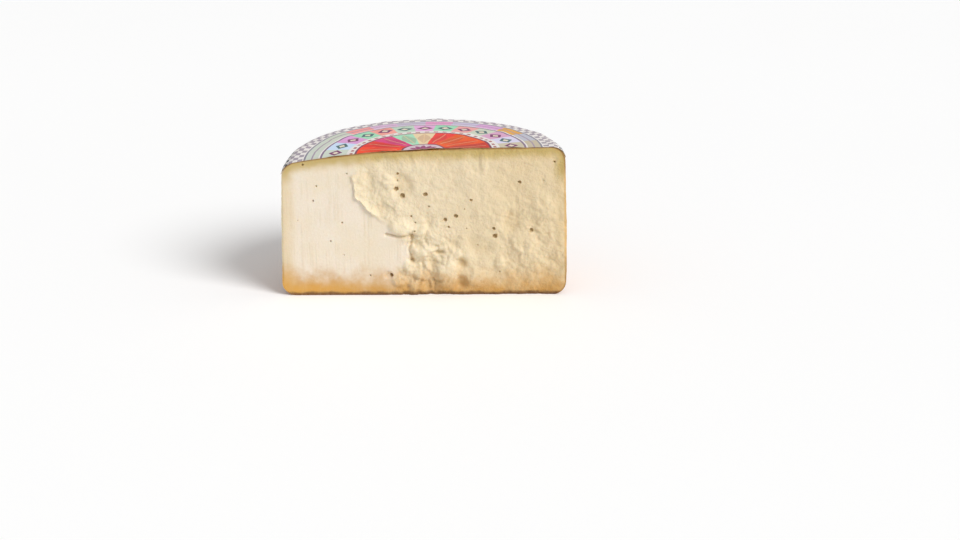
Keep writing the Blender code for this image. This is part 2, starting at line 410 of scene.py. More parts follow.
def turned(profile, segments):
    """A mesh turned from a profile, closed flat at both ends, with its front part bisected away."""
    mesh = bmesh.new()
    ring = [mesh.verts.new((radius, 0, height)) for radius, height in profile]
    edges = [mesh.edges.new(pair) for pair in zip(ring, ring[1:])]
    bmesh.ops.spin(
        mesh,
        geom=ring + edges,
        axis=(0, 0, 1),
        cent=(0, 0, 0),
        steps=segments,
        angle=math.tau,
        use_merge=True,
    )
    bmesh.ops.holes_fill(mesh, edges=[edge for edge in mesh.edges if edge.is_boundary])
    everything = mesh.verts[:] + mesh.edges[:] + mesh.faces[:]
    bmesh.ops.bisect_plane(
        mesh,
        geom=everything,
        dist=BISECT_TOLERANCE,
        plane_co=(0, -2 * PROUDEST, 0),
        plane_no=(0, -1, 0),
        clear_outer=True,
    )
    bmesh.ops.holes_fill(mesh, edges=[edge for edge in mesh.edges if edge.is_boundary])
    bmesh.ops.recalc_face_normals(mesh, faces=mesh.faces)
    return mesh


def settled(x, y, z):
    """A place on the true wheel, moved to where it lies on this uneven one."""
    angle = math.atan2(y, x)
    lift = min(z / WHEEL_HEIGHT, 1.0)
    swell = math.sin(2 * angle + 0.7) + SECOND_SWELL * math.sin(5 * angle + 6 * lift)
    grow = 1 + SIDE_WAVE * swell * lift * (1 - 0.5 * lift) / WHEEL_RADIUS
    sag = LEFT_SAG * (min(x / WHEEL_RADIUS, 0.0) * (1 - y / WHEEL_RADIUS)) ** 2
    return Vector((x * grow, y * grow + AXIS_Y, z * (1 + TOP_SLOPE * x / WHEEL_RADIUS - sag)))


print("the right rim stands at", settled(WHEEL_RADIUS, 0, WHEEL_HEIGHT))

# %% [markdown]
# ## The cheese
# The wheel is turned finely and its side gets the mottled skin of a rind that dried on a shelf:
# shallow swells, small pits and fine grain, a few tenths of a millimetre deep. Then a block takes
# away everything in front of the cut. The back of the block is the relief of the cut itself, so one
# Boolean leaves the smooth face, the crags and the crisp edge of the rind. Sculpting or a Displace
# modifier could shape the face too, but neither gives that crisp edge. The grid is cut finer where the
# relief is steep, in the eyes, the crack and the ridge. The block's own material goes to the faces
# that it cuts, which keeps paste and rind apart.

# %% The block whose back is the cut
CUT_MARGIN = 5.0 * MM
CUT_GRID = 0.62 * MM / FINE
EYE_RIM = 0.5
STEEP_BESIDE_EDGE = (-0.8, 1.8)
SHARP_ANGLE = 60


def linked_object(name, mesh, materials):
    """An object in the scene made from a bmesh, which is then freed."""
    data = bpy.data.meshes.new(name)
    mesh.to_mesh(data)
    mesh.free()
    for material in materials:
        data.materials.append(material)
    piece = bpy.data.objects.new(name, data)
    bpy.context.scene.collection.objects.link(piece)
    return piece


def in_eye(x, z):
    """Whether a place lies in an eye or on its rim."""
    x += wave(x, z, *EYE_WOBBLE)
    return any(math.hypot(x - eye_x, z - eye_z) < radius + EYE_RIM for eye_x, eye_z, radius in EYES)


def beside_edge(x, z):
    """Whether a place lies in the crack or on the steep side of the ridge."""
    past = edge_share(x, z)[0]
    on_side = STEEP_BESIDE_EDGE[0] < past < STEEP_BESIDE_EDGE[1]
    return on_side or distance_to_path(x, z, CRACK) < CRACK_WIDTH


def divide_where(mesh, wanted, cuts):
    """Cuts the squares of the grid finer where they are wanted."""
    chosen = set()
    for face in mesh.faces:
        middle = face.calc_center_median() / MM
        if wanted(middle.x, middle.z):
            chosen.add(face)
    edges = [edge for edge in mesh.edges if not chosen.isdisjoint(edge.link_faces)]
    bmesh.ops.subdivide_edges(mesh, edges=edges, cuts=cuts, use_grid_fill=True)


def make_cutter(material):
    """A block in front of the cut, with the cut's relief as its back."""
    half_width = WHEEL_RADIUS + CUT_MARGIN
    low = -CUT_MARGIN
    high = WHEEL_HEIGHT * (1 + TOP_SLOPE) + CUT_MARGIN
    mesh = bmesh.new()
    columns = round(2 * half_width / CUT_GRID)
    rows = round((high - low) / CUT_GRID)
    bmesh.ops.create_grid(mesh, x_segments=columns, y_segments=rows, size=1)
    for vert in mesh.verts:
        vert.co = (vert.co.x * half_width, AXIS_Y, low + (high - low) * (vert.co.y + 1) / 2)
    divide_where(mesh, beside_edge, 1)
    divide_where(mesh, in_eye, 2)
    for vert in mesh.verts:
        vert.co.y -= proudness(vert.co.x / MM, vert.co.z / MM) * MM
    front = bmesh.ops.extrude_face_region(mesh, geom=mesh.faces[:], use_keep_orig=True)["geom"]
    for vert in front:
        if isinstance(vert, bmesh.types.BMVert):
            vert.co.y = AXIS_Y - 4 * PROUDEST
    flat = [item for item in front if isinstance(item, bmesh.types.BMFace)]
    bmesh.ops.dissolve_faces(mesh, faces=flat)
    bmesh.ops.recalc_face_normals(mesh, faces=mesh.faces)
    return linked_object("cut_block", mesh, [material])


def cut_away(piece, cutter):
    """Cuts the piece by the block and keeps the result as its plain mesh."""
    halving = piece.modifiers.new("Half", "BOOLEAN")
    halving.operation = "DIFFERENCE"
    halving.object = cutter
    halving.solver = "EXACT"
    halving.material_mode = "TRANSFER"
    graph = bpy.context.evaluated_depsgraph_get()
    cut = bpy.data.meshes.new_from_object(piece.evaluated_get(graph))
    piece.modifiers.clear()
    piece.data = cut
    piece.data.shade_smooth()
    piece.data.set_sharp_from_angle(angle=math.radians(SHARP_ANGLE))
    print(piece.name, "has", len(cut.polygons), "faces")


# %% [markdown]
# ## Skin and cut together
# The rind's swells and pits push each point of the side out or in along its own normal, and fade out
# at the foot and under the paper. Only then does the block cut, so that the edge of the rind follows
# its skin.

# %% The rind's uneven skin, and the half wheel itself
SKIN_SWELL = (14.0, 0.28)
SKIN_PITS = (3.2, 0.16)
PIT_RIM = (0.1, 0.45)
SKIN_FADES_BELOW = 4.0 * MM
SKIN_FADES_WITHIN = 0.8 * WHEEL_RADIUS
SEGMENTS = round(480 * FINE)
FOOT_STEPS = round(10 * FINE)
SIDE_STEPS = round(60 * FINE)
SHOULDER_STEPS = 12
CROWN_STEPS = 6
rind_skin = bpy.data.materials.new("Golden rind")
cheese_paste = bpy.data.materials.new("Cheese paste")


def skin_height(point):
    """How far the rind stands out at a point, in metres: swells with small shallow pits."""
    place = point / MM
    swell = noise.fractal(place / SKIN_SWELL[0], 0.8, 2.0, 3) * SKIN_SWELL[1]
    near = noise.voronoi(place / SKIN_PITS[0])[0][0]
    pits = (smooth_step(*PIT_RIM, near) - 1) * SKIN_PITS[1]
    return (swell + pits) * MM


def make_half_wheel(cutter):
    """The turned cheese with its skin, settled and then cut."""
    profile = wheel_side(FOOT_STEPS, SIDE_STEPS) + wheel_top(SHOULDER_STEPS, CROWN_STEPS)
    mesh = turned(profile, SEGMENTS)
    mesh.normal_update()
    for vert in mesh.verts:
        x, y, z = vert.co
        wall = smooth_step(0.0, SKIN_FADES_BELOW, z) * (math.hypot(x, y) > SKIN_FADES_WITHIN)
        skin = vert.normal * skin_height(vert.co) * wall
        vert.co = settled(x, y, z) + skin
    wheel = linked_object("cheese_half", mesh, [rind_skin])
    cut_away(wheel, cutter)
    return wheel


block = make_cutter(cheese_paste)
half_wheel = make_half_wheel(block)
print("materials on it:", [slot.name for slot in half_wheel.material_slots])

# %% [markdown]
# ## The printed paper
# A round of thin paper lies over the crown and folds down the shoulder. Paper can't shrink round a
# corner, so its skirt puckers into small pleats, and its lower edge is a little uneven. On the crown
# it was pasted on damp, and dried into a few soft creases and blisters. It could be a cloth that is
# dropped on the wheel, but paper hardly stretches, so waves in a turned shape come nearer and take no
# time. It is turned from the same shoulder moved out, and cut by the same block.

# %% The paper over the top
PAPER_LIFT = 0.2 * MM
PAPER_THICKNESS = 0.3 * MM
PAPER_START = 10.0
PAPER_SHOULDER_STEPS = round(16 * FINE)
PAPER_CROWN_STEPS = round(44 * FINE)
SKIRT_FROM = WHEEL_HEIGHT - 2.0 * MM
PLEATS = 58
PLEAT_HEIGHT = 0.22 * MM
PLEAT_HOLLOW = -0.3
SKIRT_UNEVEN = 0.6 * MM
PAPER_INNER_RADIUS = 2.0 * MM
CREASE_SPACING = 26.0 * MM
CREASE_WIDTH = 0.09
CREASE_LEAST = 0.4
BLISTER_SPACING = 17.0 * MM
BLISTER_RIM = (0.1, 0.5)
CREASE_HEIGHT = 0.45 * MM
paper_print = bpy.data.materials.new("Printed paper")
paper_core = bpy.data.materials.new("Paper core")


def noise_round(angle, hills, seed):
    """Noise along a circle, which closes without a seam."""
    return noise.noise(Vector((math.cos(angle) * hills, math.sin(angle) * hills, seed)))


def pleated(x, y, z):
    """Moves a place on the paper out with the pleats, and its lower edge up or down."""
    angle = math.atan2(y, x)
    down = smooth_step(SKIRT_FROM, SHOULDER_START, z)
    here = 0.5 + 0.5 * math.sin(7 * angle + 1)
    fold = math.sin(PLEATS * angle + 5 * noise_round(angle, 3, 5.0)) * here
    out = 1 + PLEAT_HEIGHT * down * max(fold, PLEAT_HOLLOW) / WHEEL_RADIUS
    return x * out, y * out, z + SKIRT_UNEVEN * noise_round(angle, 9, 2.0) * down**3


def creased(x, y, z):
    """Lifts a place on the crown where a crease or a blister stands off the cheese."""
    place = Vector((x, y, 0))
    crease = 1 - smooth_step(0.0, CREASE_WIDTH, abs(noise.noise(place / CREASE_SPACING)))
    blister = smooth_step(*BLISTER_RIM, noise.noise(place / BLISTER_SPACING))
    flat = smooth_step(SHOULDER_START, WHEEL_HEIGHT - CROWN_RISE, z)
    return x, y, z + CREASE_HEIGHT * flat * max(crease * (CREASE_LEAST + blister), blister)


def make_paper(cutter):
    """The turned paper, pleated, creased, settled and then cut. Its cut edge shows the bare fibre."""
    steps = (PAPER_SHOULDER_STEPS, PAPER_CROWN_STEPS)
    covered = wheel_top(*steps, PAPER_START, PAPER_INNER_RADIUS)
    under = pushed_out(covered, PAPER_LIFT)
    over = pushed_out(covered, PAPER_LIFT + PAPER_THICKNESS)
    mesh = turned(over[::-1] + under, SEGMENTS)
    for vert in mesh.verts:
        vert.co = settled(*creased(*pleated(*vert.co)))
    paper = linked_object("top_paper", mesh, [paper_print])
    cut_away(paper, cutter)
    paper.data.materials[1] = paper_core
    return paper


top_paper = make_paper(block)
bpy.data.objects.remove(block)

# %% [markdown]
# ## Colour needs to know the cut
# A crumbly surface is a shade yellower than a smooth one. The little eyes look dark because no light
# gets out of them, so that shade is painted into their colour, and the hollows get painted shade and
# the lumps painted light by how proud they are. The same functions that shaped the cut say where
# all that is. They are stored on the mesh as attributes, one number for each point, so that the
# material only has to read them.

# %% Store where the paste is torn, proud and pierced
EYE_SHADE = (0.1, 1.2)


def mark_cut(piece, paste_slot):
    """Writes torn, proud and eye to the points of the faces that the block cut."""
    mesh = piece.data
    marks = {name: [0.0] * len(mesh.vertices) for name in ("torn", "proud", "eye")}
    cut_points = set()
    for face in mesh.polygons:
        if face.material_index == paste_slot:
            cut_points.update(face.vertices)
    for index in cut_points:
        x, y, z = mesh.vertices[index].co / MM
        marks["torn"][index] = edge_share(x, z)[2]
        marks["proud"][index] = AXIS_Y / MM - y
        marks["eye"][index] = smooth_step(*EYE_SHADE, eye_depth(x, z))
    for name, values in marks.items():
        mesh.attributes.new(name, "FLOAT", "POINT").data.foreach_set("value", values)
    print(len(cut_points), "points lie on the cut")


mark_cut(half_wheel, 1)

# %% [markdown]
# ## A short language for materials
# A material in Blender is a net of small nodes. Writing each node and link by hand hides the idea,
# so a Wire stands for one output socket and knows sums: `1 - mask` adds a Math node and gives back
# another Wire. A Paint holds one material's net and makes every other kind of node the same way.

# %% Wires that know sums
class Wire:
    """One output of a node. Each sign between wires and numbers adds a Math node."""

    def __init__(self, paint, socket):
        self.paint = paint
        self.socket = socket

    def __add__(self, other):
        return self.paint.math("ADD", self, other)

    def __sub__(self, other):
        return self.paint.math("SUBTRACT", self, other)

    def __rsub__(self, other):
        return self.paint.math("SUBTRACT", other, self)

    def __mul__(self, other):
        return self.paint.math("MULTIPLY", self, other)

    def __truediv__(self, other):
        return self.paint.math("DIVIDE", self, other)

    def __lt__(self, other):
        return self.paint.math("LESS_THAN", self, other)

    def __gt__(self, other):
        return self.paint.math("GREATER_THAN", self, other)

    __radd__ = __add__
    __rmul__ = __mul__


# %% [markdown]
# ## Paints
# A Paint starts from a new material's shader and the place on the object. One method makes any node
# from its type, its settings and what goes into its sockets, and the others are short names for nodes
# that are used often. What never changes over a surface is set on the shader's own sockets.

# %% Paints: one material's net of nodes
class Paint:
    """The nodes of one material."""

    def __init__(self, material):
        material.use_nodes = True
        self.tree = material.node_tree
        self.shader = self.tree.nodes["Principled BSDF"]
        self.place = self.node("TexCoord", {}, {}, "Object")
        self.x, self.y, self.z = self.parts(self.place)

    def node(self, kind, settings, inputs, output=0):
        """Adds a node, sets it up, feeds its sockets and gives back one of its outputs."""
        made = self.tree.nodes.new("ShaderNode" + kind)
        for name, value in settings.items():
            if name == "stops":
                self.set_steps(made.color_ramp, value)
            else:
                setattr(made, name, value)
        for name, value in inputs.items():
            self.feed(made.inputs[name], value)
        return Wire(self, made.outputs[output])

    def set_steps(self, ramp, stops):
        """Gives a ramp flat steps of colour, each from its own place on."""
        ramp.interpolation = "CONSTANT"
        while len(ramp.elements) < len(stops):
            ramp.elements.new(1.0)
        for element, (position, colour) in zip(ramp.elements, stops):
            element.position = position
            element.color = colour

    def feed(self, socket, value):
        """Links a wire to a socket, or sets a number or colour on it."""
        if isinstance(value, Wire):
            self.tree.links.new(value.socket, socket)
        else:
            socket.default_value = value

    def parts(self, vector):
        """The three numbers of a place, in millimetres."""
        split = self.node("SeparateXYZ", {}, {"Vector": vector}).socket.node
        return [Wire(self, socket) * (1 / MM) for socket in split.outputs]

    def math(self, operation, *values):
        return self.node("Math", {"operation": operation}, dict(enumerate(values)))

    def rise(self, value, low, high):
        """0 at low, 1 at high and a smooth rise between."""
        settings = {"interpolation_type": "SMOOTHSTEP"}
        return self.node("MapRange", settings, {"Value": value, "From Min": low, "From Max": high})

    def mix(self, mask, low, high):
        """A colour that goes from low to high as the mask goes from 0 to 1."""
        return self.node("Mix", {"data_type": "RGBA"}, {0: mask, 6: low, 7: high}, 2)

    def noise(self, spacing, detail, stretch=(1, 1, 1)):
        """Noise from 0 to 1 with hills about this many millimetres apart."""
        placed = self.node("Mapping", {}, {"Vector": self.place, "Scale": stretch})
        inputs = {"Vector": placed, "Scale": 1 / (spacing * MM), "Detail": detail}
        return self.node("TexNoise", {}, inputs, "Fac")

    def cells(self, spacing):
        """The distance to the nearest of points strewn about this many millimetres apart."""
        inputs = {"Vector": self.place, "Scale": 1 / (spacing * MM)}
        return self.node("TexVoronoi", {}, inputs, "Distance")

    def attribute(self, name):
        """What the mesh stores under this name at each point."""
        return self.node("Attribute", {"attribute_name": name}, {}, "Fac")

    def finish(self, colour, roughness, relief=None, depth=0.0):
        """Feeds the shader. The relief is a wire from 0 to 1 that stands for this depth in metres."""
        self.feed(self.shader.inputs["Base Color"], colour)
        self.feed(self.shader.inputs["Roughness"], roughness)
        if relief:
            inputs = {"Height": relief, "Distance": depth, "Strength": 1.0}
            self.feed(self.shader.inputs["Normal"], self.node("Bump", {}, inputs))

    def set_plain(self, **values):
        """Numbers that are the same all over, set on the shader's own sockets."""
        for name, value in values.items():
            self.shader.inputs[name.replace("_", " ")].default_value = value


def ink(code):
    """A colour from six hex digits of screen colour, as the linear numbers that shaders use."""
    linear = []
    for place in (0, 2, 4):
        share = int(code[place : place + 2], 16) / 255
        linear.append((share + 0.055) ** 2.4 / 1.055**2.4 if share > 0.04 else share / 12.92)
    return (*linear, 1.0)


def inks(codes):
    """A set of named colours."""
    return {name: ink(code) for name, code in codes.items()}


print("middle grey is", round(ink("808080")[0], 3))

# %% [markdown]
# ## How deep under the rind
# Cheese dries and browns from the outside in, so its colour follows the distance to the rind. Seen in
# section the wheel is a rectangle with round corners, and that distance is a short sum of its radius
# and height. Noise is added to it, so that no line in the paste is drawn with a compass.

# %% The distance to the rind, as a wire
def settling(paint):
    """How much the settled wheel's height differs from the true wheel's at a point, as a factor."""
    along_cut = paint.x * (MM / WHEEL_RADIUS)
    inwards = 1 - (paint.y - AXIS_Y / MM) * (MM / WHEEL_RADIUS)
    left = paint.math("MINIMUM", along_cut, 0.0)
    return 1 + TOP_SLOPE * along_cut - LEFT_SAG * (left * inwards) * (left * inwards)


def below_rind(paint):
    """Millimetres from a point to the wheel's outside, in the section through its axis."""
    corner = FOOT_RADIUS / MM
    radius_now = WHEEL_RADIUS / MM - TOP_NARROWER / MM * paint.z / (WHEEL_HEIGHT / MM)
    upright = paint.z / settling(paint)
    deep = paint.y - AXIS_Y / MM
    radius = paint.math("SQRT", paint.x * paint.x + deep * deep)
    across = radius - radius_now + corner
    half_height = WHEEL_HEIGHT / MM / 2
    up = paint.math("ABSOLUTE", upright - half_height) - (half_height - corner)
    across_out = paint.math("MAXIMUM", across, 0.0)
    up_out = paint.math("MAXIMUM", up, 0.0)
    outside = paint.math("SQRT", across_out * across_out + up_out * up_out)
    inside = paint.math("MINIMUM", paint.math("MAXIMUM", across, up), 0.0)
    return corner - outside - inside


# %% [markdown]
# ## Paste
# The paste is ivory, a shade yellower where it broke, with soft patches all through. The hollows are
# deeper in colour as painted shade and the lumps paler as painted light. It could be one noise between
# two colours, but that reads as plaster. Laid one over the other, each mix stands for one thing that
# happens to cheese or to the light on it.

# %% The inner paste
PASTE = inks({
    "knife_cut": "E6DAC9",
    "broken": "E0D0B2",
    "patches": "DDCEAE",
    # painted shade in the hollows
    "hollows": "CBAC76",
    # painted light on the proud lumps
    "lumps": "ECDFC2",
    "warm": "D9C195",
    # painted shade and warm reflection towards the right
    "painted_right_shade": "D2B98C",
    # painted shade and warm reflection low down
    "low": "C0904A",
    "high": "B79E58",
    "edge": "A37C45",
    "left_edge": "C6B898",
    "right_edge": "D4AE74",
    "corner": "D49E46",
    # the rind's section at the foot, dark as painted contact shadow
    "foot": "60391A",
    # painted shade in the eyes
    "eyes": "A98B55",
    "drag": "C9B48C",
    "grain": "C0A774",
    "specks": "B39A68",
})


def inner_paste(paint, torn):
    """The colour of the paste away from the rind, with painted shade in hollows and painted light on
    lumps.
    """
    proud = paint.attribute("proud")
    colour = paint.mix(torn, PASTE["knife_cut"], PASTE["broken"])
    patches = paint.rise(paint.noise(24, 3), 0.35, 0.7)
    colour = paint.mix(patches * 0.35, colour, PASTE["patches"])
    # Painted shade: the hollows are darkened and yellowed as if in shade.
    colour = paint.mix(paint.rise(proud, -0.3, -3.5) * 0.35, colour, PASTE["hollows"])
    # Painted light: the proud lumps of the broken part are paler as if lit.
    return paint.mix(paint.rise(proud, 0.3, 2.2) * torn * 0.6, colour, PASTE["lumps"])


print(len(PASTE), "colours for the paste")

# %% [markdown]
# ## Towards the rind
# Salt and air work from outside, so the last centimetre turns warm, then gold. It is deepest under the
# paper and at the lower left corner. Low down, a golden band is painted shade and a painted warm
# reflection from below, and towards the right the paste is painted darker and warmer as shade. The
# very foot is the rind's section, dark brown as painted contact shadow. Each mix reads the distance to
# the rind, the height or the place across, and uneven noise keeps its border from being a line.

# %% Gold and brown near the rind, with painted shade low down and on the right
def browned(paint, colour):
    """Warms and browns the paste before the rind, and paints shade low down, on the right and at the
    foot.
    """
    depth = below_rind(paint)
    wandering = depth + (paint.noise(6, 4) - 0.5) * 5
    uneven = (paint.noise(11, 3) - 0.5) * 24 + (paint.noise(3, 3) - 0.5) * 9
    warm = 1 - paint.rise(wandering, 1.0, 12.0)
    colour = paint.mix(warm * 0.6, colour, PASTE["warm"])
    # Painted shade: the paste is darker and warmer towards the right.
    colour = paint.mix(paint.rise(paint.x, -10.0, 80.0) * 0.45, colour, PASTE["painted_right_shade"])
    # Painted shade and warm reflection: a golden band towards the bottom.
    low = 1 - paint.rise(paint.z + uneven, -3.0, 25.0)
    colour = paint.mix(low, colour, PASTE["low"])
    high = (1 - paint.rise(wandering, 2.0, 9.5)) * paint.rise(paint.z, 74.0, 88.0)
    colour = paint.mix(high * 0.85, colour, PASTE["high"])
    side = paint.rise(paint.z, 10.0, 30.0) * paint.rise(paint.z, 92.0, 80.0)
    side_edge = paint.mix(paint.x > 0, PASTE["left_edge"], PASTE["right_edge"])
    edge = paint.mix(side, PASTE["edge"], side_edge)
    colour = paint.mix(1 - paint.rise(depth, 0.3, 1.5), colour, edge)
    corner = (1 - paint.rise(wandering, 3.0, 16.0)) * (1 - paint.rise(paint.z, 4.0, 26.0))
    corner = corner * (1 - paint.rise(paint.x + uneven, -85.0, -5.0))
    colour = paint.mix(corner * 0.85, colour, PASTE["corner"])
    # The rind's section at the very foot, dark brown as painted contact shadow.
    foot = 1 - paint.rise(paint.z + (paint.noise(5, 3) - 0.5) * 3, 1.0, 3.2)
    return paint.mix(foot * 0.9, colour, PASTE["foot"])


# %% [markdown]
# ## Fine marks and light in the paste
# The knife left faint upright drag lines on the smooth part, and the broken part has crumbs. Both are
# finer than the mesh, so they are a bump and a slight tint. Light goes a little way into cheese, which
# softens its shadows. The shader scatters it below the surface, red the furthest.

# %% Cheese paste
CRUMB_DEPTH = 0.3 * MM


def paint_paste(material):
    """The whole finish of the cut."""
    paint = Paint(material)
    torn = paint.attribute("torn")
    fine = paint.noise(1.6, 4)
    colour = browned(paint, inner_paste(paint, torn))
    # Painted shade: the eyes are darkened as if no light got out of them.
    colour = paint.mix(paint.attribute("eye") * 0.4, colour, PASTE["eyes"])
    drag = paint.rise(paint.noise(3.2, 3, (1, 1, 0.06)), 0.45, 0.75) * (1 - torn)
    drag = drag * paint.rise(paint.noise(16, 2), 0.35, 0.62)
    colour = paint.mix(drag * 0.2, colour, PASTE["drag"])
    colour = paint.mix(paint.rise(fine, 0.3, 0.75) * 0.12, colour, PASTE["grain"])
    speck = paint.rise(paint.cells(2.7), 0.14, 0.05) * torn
    colour = paint.mix(speck * 0.2, colour, PASTE["specks"])
    crumbs = paint.cells(1.2) * torn
    grain = fine * (0.35 + 0.65 * torn) + paint.noise(0.7, 2) * 0.3 + drag * 0.4 - crumbs * 0.5
    paint.finish(colour, 0.42 + 0.16 * torn, grain, CRUMB_DEPTH)
    paint.set_plain(Subsurface_Weight=0.24, Subsurface_Scale=1.3 * MM)
    paint.set_plain(Subsurface_Radius=(1.0, 0.62, 0.33), Specular_IOR_Level=0.35)
    return paint


print("paste has", len(paint_paste(cheese_paste).tree.nodes), "nodes")

# %% [markdown]
# ## Rind
# A washed and shelf-dried rind is golden brown. It is mottled at three sizes: broad blotches from
# uneven drying, freckles a few millimetres across and a fine pepper of dark and pale, with paler
# places where it was rubbed, and it grows darker towards the foot. It shines a little.

# %% Golden rind
RIND_GRAIN_DEPTH = 0.3 * MM


def paint_rind(material):
    """The rind, with its colours laid from the broadest to the finest, and the foot last."""
    paint = Paint(material)
    blotches = paint.noise(22, 5)
    mottling = paint.noise(4.5, 5)
    fine = paint.noise(1.5, 5)
    rubbed = paint.noise(11, 4, (1, 1, 0.4))
    foot = paint.z + blotches * 8
    colour = paint.mix(paint.rise(blotches, 0.36, 0.66), ink("CC8A3A"), ink("B87428"))
    layers = (
        # what it follows, none at, all at, how strong, colour
        (mottling, 0.4, 0.74, 0.62, "98591E"),
        (rubbed, 0.46, 0.3, 0.45, "D8A253"),
        (fine, 0.56, 0.7, 0.25, "84501E"),
        (fine, 0.42, 0.3, 0.25, "DCAE64"),
        (foot, 13.0, 3.0, 0.6, "86521F"),
    )
    for value, none, all_over, strength, code in layers:
        colour = paint.mix(paint.rise(value, none, all_over) * strength, colour, ink(code))
    paint.finish(colour, 0.4 + 0.25 * mottling, fine * 0.6 + mottling * 0.4, RIND_GRAIN_DEPTH)
    paint.set_plain(Subsurface_Weight=0.12, Subsurface_Scale=1.2 * MM)
    paint.set_plain(Subsurface_Radius=(1.0, 0.5, 0.2), Coat_Weight=0.1, Coat_Roughness=0.4)
    return paint


print("rind has", len(paint_rind(rind_skin).tree.nodes), "nodes")

# %% [markdown]
# ## Print
# The print is laid out in rings about the wheel's axis, as on any round label, and it is a plain
# design of its own: a rosette, a wreath of leaves on red and orange, a ring of coloured fields with
# lozenges, a band of soft colours, and chequers down to the shoulder. It could be painted as a picture,
# but drawn with sums it stays sharp at any distance. Two wires drive all of it: the distance from the
# middle, measured along the paper, and the turn about the axis, from right to left.

# %% Rings, turns and fields
def band(value, low, high):
    """1 between two values and 0 outside them."""
    return (value > low) * (value < high)


def repeat(paint, value, count):
    """The value cut into this many equal steps: which step, and how far through it."""
    scaled = value * count
    return paint.math("FLOOR", scaled), paint.math("FRACT", scaled)


def fields(paint, turn, codes):
    """One flat colour after another round the turn."""
    stops = [(index / len(codes), ink(code)) for index, code in enumerate(codes)]
    return paint.node("ValToRGB", {"stops": stops}, {"Fac": turn}, "Color")


LEAF_FIELDS = "CC3528 F25416 EA5C1E F23C38 EED6AC A8E2C0 DE4082 E4352C FA451E".split()
RING_FIELDS = (
    "CFC4AC DCD6EE DCA8C8 CFD6C2 EFA8A6 A2DEBA E6AEDA BFD6C2 F5A298 A2DEBA DEA0D6 CCE0F8 CFD8CA"
).split()
BAND_FIELDS = (
    "C8BBA2 BFC0CC E2A850 DEA6D8 CDC4DE EC9CCC CBC0D6 DEB8D8 F49E9A CBD2C2 CDD4C8 CDD4C8"
).split()
print(len(LEAF_FIELDS), "leaves,", len(RING_FIELDS), "fields and", len(BAND_FIELDS), "soft colours")

# %% [markdown]
# ## The layout
# Every ring of the print is a row in a table, with its place in millimetres from the middle. With the
# layout in tables, the drawing functions below hold only the way that each motif is made.

# %% The places and inks of the rings
PETAL_REACH = (6, 4)
PETAL_TURNS = 6
ROSETTE_TO = 13
LEAF = (17, 42)
LEAF_HALF_WIDTH = 4.4
RIB_HALF_WIDTH = 0.35
LOZENGE_MIDDLE = 58
LOZENGE_WIDTH = 0.8
LOZENGE_SIZES = (4.6, 2.2)
FIELDS = (
    # from, to, colours
    (14.4, 44, LEAF_FIELDS),
    (50, 66, RING_FIELDS),
    (68.4, 77, BAND_FIELDS),
)
CHEQUERS = (
    # from, rows, how deep each is, how many round the half, colour
    (46, 1, 2, 48, "B06A6A"),
    (79, 3, 3.4, 66, "A59AA6"),
    (90, 2, 2.8, 84, "38424F"),
)
LINES = (
    # from, to, colour
    (13, 14.4, "83405A"),
    (43.4, 44.8, "83405A"),
    (66, 67.4, "86708A"),
    (72.2, 73.2, "A592A6"),
    (77, 78.2, "8B8896"),
    (95.6, 96.8, "38424F"),
    (97.2, 200, "BCD6C4"),
)
PRINT = inks({
    "paper": "EAE5E1",
    "rosette": "D8C2CC",
    "petals": "9A4676",
    "leaves": "9C2420",
    "ribs": "F2CFA0",
    "plum": "7F3F6E",
    "teal": "4E6F74",
    "cream": "E8DCC4",
    "worn": "E6E0D6",
    "yellowed": "C4B08C",
    "fat": "A5774C",
})
print(len(FIELDS), "rings of fields,", len(CHEQUERS), "of chequers and", len(LINES), "lines")

# %% [markdown]
# ## Motifs
# Each motif is a mask made of comparisons. A leaf is where the distance beside a field's middle line is
# less than a sine that swells along it. A lozenge is where two distances add up to little, which is how
# a square on its corner is drawn. Chequers are where the numbers of column and row add up to odd.

# %% Leaves, lozenges and chequers
def beside_middle(through, out, count):
    """Millimetres from the middle line of a step, at this distance from the axis."""
    return (through - 0.5) * out * (math.pi / count)


def leaf_wreath(paint, colour, out, turn):
    """A leaf with a pale rib in each field round the rosette."""
    count = len(LEAF_FIELDS)
    through = repeat(paint, turn, count)[1]
    beside = paint.math("ABSOLUTE", beside_middle(through, out, count))
    along_leaf = (out - LEAF[0]) * (math.pi / (LEAF[1] - LEAF[0]))
    leaf = (beside < paint.math("SINE", along_leaf) * LEAF_HALF_WIDTH) * band(out, *LEAF)
    colour = paint.mix(leaf * 0.28, colour, PRINT["leaves"])
    rib = leaf * (beside < RIB_HALF_WIDTH)
    return paint.mix(rib * 0.55, colour, PRINT["ribs"])


def lozenge_ring(paint, colour, out, turn):
    """A lozenge with a pale middle in each of the soft fields."""
    count = len(RING_FIELDS)
    which, through = repeat(paint, turn, count)
    beside = paint.math("ABSOLUTE", beside_middle(through, out, count))
    from_middle = beside * LOZENGE_WIDTH + paint.math("ABSOLUTE", out - LOZENGE_MIDDLE)
    plum_or_teal = paint.mix(paint.math("MODULO", which, 2.0), PRINT["plum"], PRINT["teal"])
    colour = paint.mix(from_middle < LOZENGE_SIZES[0], colour, plum_or_teal)
    return paint.mix(from_middle < LOZENGE_SIZES[1], colour, PRINT["cream"])


def chequers(paint, out, turn, low, rows, depth, count):
    """1 on every second square of these rows."""
    step = paint.math("FLOOR", (out - low) / depth)
    which = repeat(paint, turn, count)[0]
    odd = paint.math("MODULO", which + step + 2, 2.0) > 0.5
    return odd * band(out, low, low + rows * depth)


# %% [markdown]
# ## The whole print, and its age
# The rings are laid one over the other from the middle outwards. Then the paper is aged a little: worn
# pale in spots, yellowed in broad patches, and stained where the cut let fat creep in. Coated paper has
# a weak shine, and its cut edge shows bare fibre.

# %% Printed paper
PAPER_WAVES_DEPTH = 0.35 * MM
FIBRE_DEPTH = 0.1 * MM


